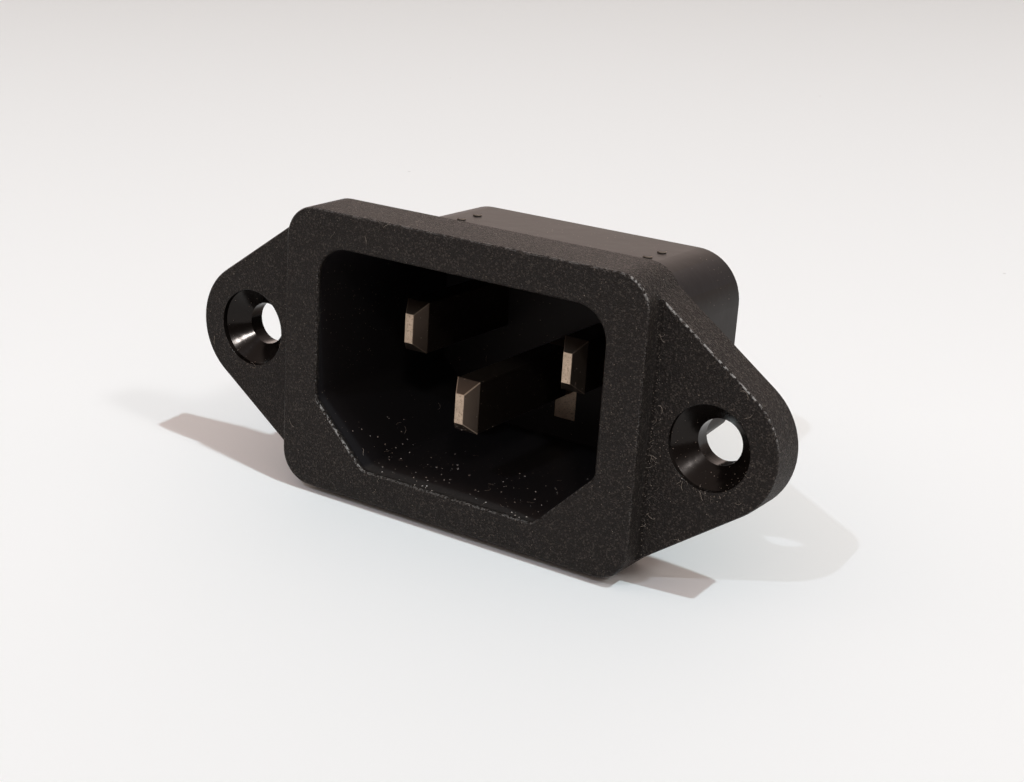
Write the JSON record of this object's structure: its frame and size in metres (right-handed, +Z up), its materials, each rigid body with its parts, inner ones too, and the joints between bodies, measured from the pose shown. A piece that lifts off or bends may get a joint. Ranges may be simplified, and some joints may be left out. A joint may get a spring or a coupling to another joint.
{
  "type": "c14 panel inlet socket",
  "caption": "Screw-mounted C14 panel inlet: a black moulded flange housing with countersunk ears and a keyed cavity, holding bevelled flat contact pins with rear push-on tabs.",
  "frame": {"origin": "midway between the two screw holes, on the flange's rear face, which seats on the panel", "axes": "+X along the row of screw holes, +Y into the panel, +Z up with the earth pin below the other two"},
  "size_m": [0.05, 0.0268, 0.022],
  "materials": {
    "black_thermoplastic": "fine spark-eroded texture, satin on the rear body",
    "plated_brass": "stamped and nickel plated, slightly dull"
  },
  "bodies": {
    "root": {"housing": "black_thermoplastic", "line_pin": "plated_brass", "neutral_pin": "plated_brass", "earth_pin": "plated_brass"}
  },
  "joints": []
}
